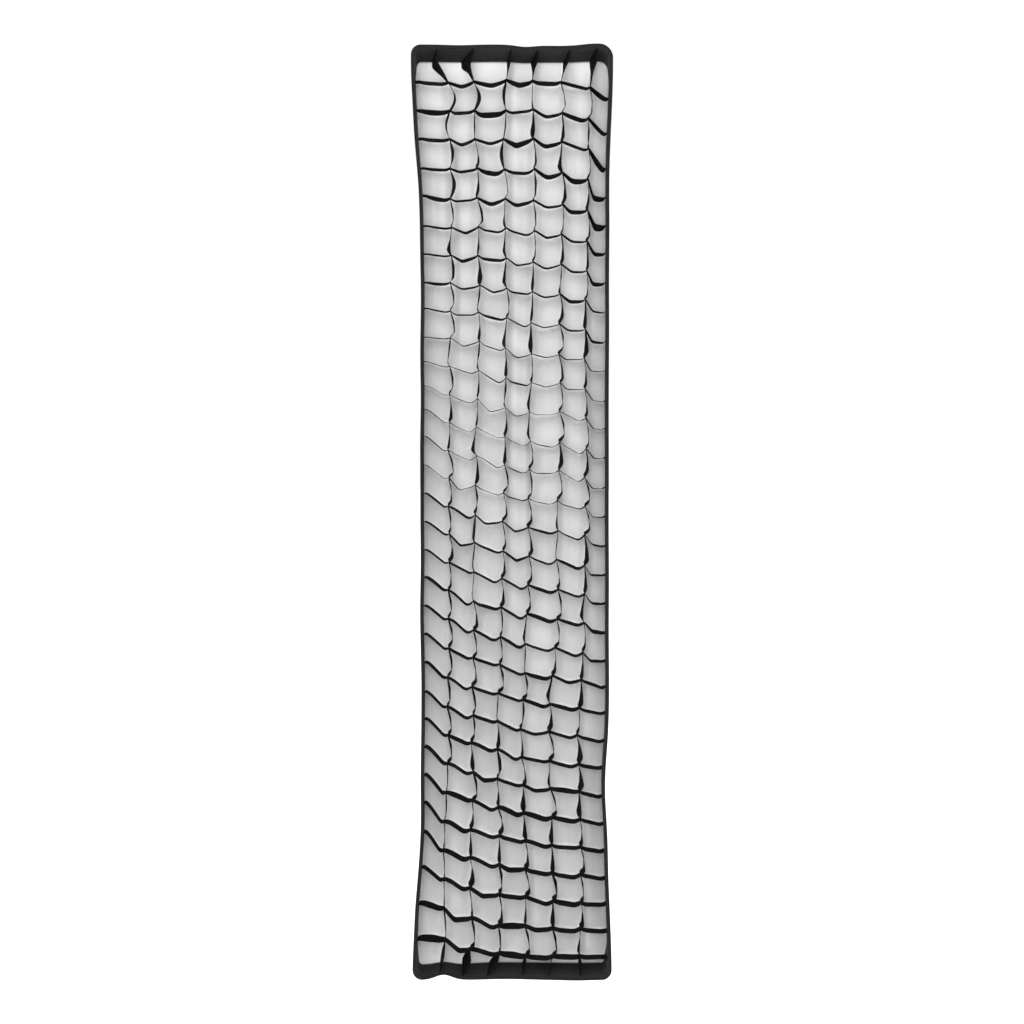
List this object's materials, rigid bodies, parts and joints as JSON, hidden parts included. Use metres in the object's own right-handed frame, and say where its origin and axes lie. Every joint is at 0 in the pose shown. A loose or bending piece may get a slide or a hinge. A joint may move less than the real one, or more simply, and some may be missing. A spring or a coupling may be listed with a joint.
{
  "type": "strip softbox",
  "caption": "Tall narrow strip softbox with a fabric egg-crate grid, white diffusers, bowed rods and a rotating speed ring on a bayonet mount.",
  "frame": {"origin": "centre of the bayonet insert's seat face, where the lamp head's front ring touches it", "axes": "+Z along the softbox's long axis, +Y back into the lamp head (light leaves along -Y), +X to the right seen from the lit front"},
  "size_m": [0.3472, 0.4105, 1.6046],
  "materials": {
    "plated_steel": "satin",
    "ring_casting": "satin",
    "brass": "satin",
    "rod_steel": "satin",
    "nylon": "matte",
    "knob_plastic": "matte",
    "press_stud": "gloss",
    "black_shell_cloth": "matte",
    "silver_lining_cloth": "satin",
    "white_diffuser_cloth": "matte",
    "black_grid_cloth": "matte",
    "black_webbing": "matte",
    "hook_and_loop": "matte"
  },
  "bodies": {
    "mount_insert": {"bayonet_insert": "plated_steel"},
    "softbox": {"speed_ring": "ring_casting", "insert_clips": "plated_steel", "clip_screws": "plated_steel", "lock_bush": "brass", "socket_screws": "plated_steel", "rod_socket_top_right": "ring_casting", "rod_socket_top_left": "ring_casting", "rod_socket_bottom_left": "ring_casting", "rod_socket_bottom_right": "ring_casting", "rod_top_right": "rod_steel", "rod_top_left": "rod_steel", "rod_bottom_left": "rod_steel", "rod_bottom_right": "rod_steel", "rod_ferrules": "plated_steel", "rod_tips": "nylon", "corner_pockets": "black_webbing", "shell_top": "black_shell_cloth", "shell_bottom": "black_shell_cloth", "shell_right": "black_shell_cloth", "shell_left": "black_shell_cloth", "lining_top": "silver_lining_cloth", "lining_bottom": "silver_lining_cloth", "lining_right": "silver_lining_cloth", "lining_left": "silver_lining_cloth", "corner_piping": "black_webbing", "neck": "black_shell_cloth", "neck_strap": "black_webbing", "front_lip": "black_shell_cloth", "lip_binding": "black_webbing", "lip_loop_tape": "hook_and_loop", "anchor_loops": "black_webbing", "snap_studs": "press_stud"},
    "lock_shoe": {"brake_shoe": "nylon"},
    "lock_knob": {"lock_screw": "plated_steel", "lock_knob": "knob_plastic"},
    "inner_diffuser": {"inner_diffuser": "white_diffuser_cloth", "inner_diffuser_tabs": "black_webbing", "snap_caps": "press_stud"},
    "front_diffuser": {"front_diffuser": "white_diffuser_cloth", "diffuser_border": "hook_and_loop"},
    "egg_crate": {"grid_border": "black_grid_cloth", "grid_hook_tape": "hook_and_loop", "grid_long_strips": "black_grid_cloth", "grid_cross_strips": "black_grid_cloth"}
  },
  "joints": [
    {"name": "softbox_swivel", "type": "hinge", "parent": "mount_insert", "child": "softbox", "pos_m": [0, 0, 0], "axis": [0, 1, 0], "continuous": true},
    {"name": "lock_travel", "type": "slide", "parent": "softbox", "child": "lock_shoe", "axis": [1, 0, 0], "range_m": [0, 0.0015]},
    {"name": "lock_turn", "type": "hinge", "parent": "lock_shoe", "child": "lock_knob", "pos_m": [0.106, -0.003, 0], "axis": [1, 0, 0], "range_deg": [0, 540]},
    {"name": "inner_diffuser_out", "type": "slide", "parent": "softbox", "child": "inner_diffuser", "axis": [0, -1, 0], "range_m": [0, 0.3]},
    {"name": "front_diffuser_off", "type": "slide", "parent": "inner_diffuser", "child": "front_diffuser", "axis": [0, -1, 0], "range_m": [0, 0.15]},
    {"name": "grid_off", "type": "slide", "parent": "front_diffuser", "child": "egg_crate", "axis": [0, -1, 0], "range_m": [0, 0.12]}
  ],
  "couplings": [
    {"joint": "lock_turn", "follows": "lock_travel", "rad_per_m": 6280}
  ]
}
